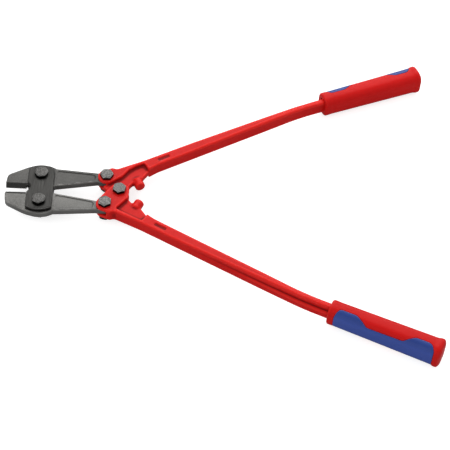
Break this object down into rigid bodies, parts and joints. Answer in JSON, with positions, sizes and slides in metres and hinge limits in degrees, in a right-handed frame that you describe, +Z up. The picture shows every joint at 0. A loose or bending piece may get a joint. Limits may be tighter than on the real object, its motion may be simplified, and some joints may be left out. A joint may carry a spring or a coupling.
{
  "type": "bolt cutters",
  "caption": "Long-handled bolt cutters with forged jaws, toggle head with a centre pivot, red enamelled handles and sleeve grips with blue soft inlays.",
  "frame": {"origin": "centre of the tool in plan, on the surface it lies on", "axes": "+X from the jaws to the grips along the centre line, +Y towards the upper handle, +Z up out of the face with the bolt heads"},
  "size_m": [0.5652, 0.5056, 0.0367],
  "materials": {
    "forged_steel": "ground and oiled forged steel",
    "strap_steel": "dark phosphated plate",
    "bolt_steel": "grey phosphated heads with black sides",
    "black_fastener": "black oxide",
    "red_paint": "glossy red enamel",
    "red_grip_plastic": "satin red hard moulding",
    "blue_inlay_rubber": "matte soft blue moulding"
  },
  "bodies": {
    "head_plates": {"top_strap": "strap_steel", "bottom_strap": "strap_steel", "upper_strap_bolt": "bolt_steel", "upper_strap_washer": "black_fastener", "upper_strap_nut": "black_fastener", "lower_strap_bolt": "bolt_steel", "lower_strap_washer": "black_fastener", "lower_strap_nut": "black_fastener"},
    "upper_jaw_body": {"upper_jaw": "forged_steel"},
    "lower_jaw_body": {"lower_jaw": "forged_steel"},
    "upper_lever": {"upper_handle": "red_paint", "upper_grip": "red_grip_plastic", "upper_grip_inlay": "blue_inlay_rubber", "upper_fork_bolt": "bolt_steel", "upper_fork_washer": "black_fastener", "upper_fork_nut": "black_fastener"},
    "lower_lever": {"lower_handle": "red_paint", "lower_grip": "red_grip_plastic", "lower_grip_inlay": "blue_inlay_rubber", "lower_fork_bolt": "bolt_steel", "lower_fork_washer": "black_fastener", "lower_fork_nut": "black_fastener", "centre_bolt": "bolt_steel", "centre_washer": "black_fastener", "centre_nut": "black_fastener"}
  },
  "joints": [
    {"name": "upper_jaw_pivot", "type": "hinge", "parent": "head_plates", "child": "upper_jaw_body", "pos_m": [-0.23664, 0.0231, 0.01834], "axis": [0, 0, 1], "range_deg": [-0.96, 3.9]},
    {"name": "lower_jaw_pivot", "type": "hinge", "parent": "head_plates", "child": "lower_jaw_body", "pos_m": [-0.23664, -0.0231, 0.01834], "axis": [0, 0, -1], "range_deg": [-0.96, 3.9]},
    {"name": "upper_handle_pivot", "type": "hinge", "parent": "upper_jaw_body", "child": "upper_lever", "pos_m": [-0.15044, 0.0237, 0.01834], "axis": [0, 0, -1], "range_deg": [-6.96, 28.4]},
    {"name": "lower_handle_pivot", "type": "hinge", "parent": "lower_jaw_body", "child": "lower_lever", "pos_m": [-0.15044, -0.0237, 0.01834], "axis": [0, 0, 1], "range_deg": [-6.96, 28.4]}
  ],
  "couplings": [
    {"joint": "upper_jaw_pivot", "follows": "upper_handle_pivot", "ratio": 0.1373},
    {"joint": "lower_jaw_pivot", "follows": "upper_handle_pivot", "ratio": 0.1373},
    {"joint": "lower_handle_pivot", "follows": "upper_handle_pivot", "ratio": 1}
  ]
}
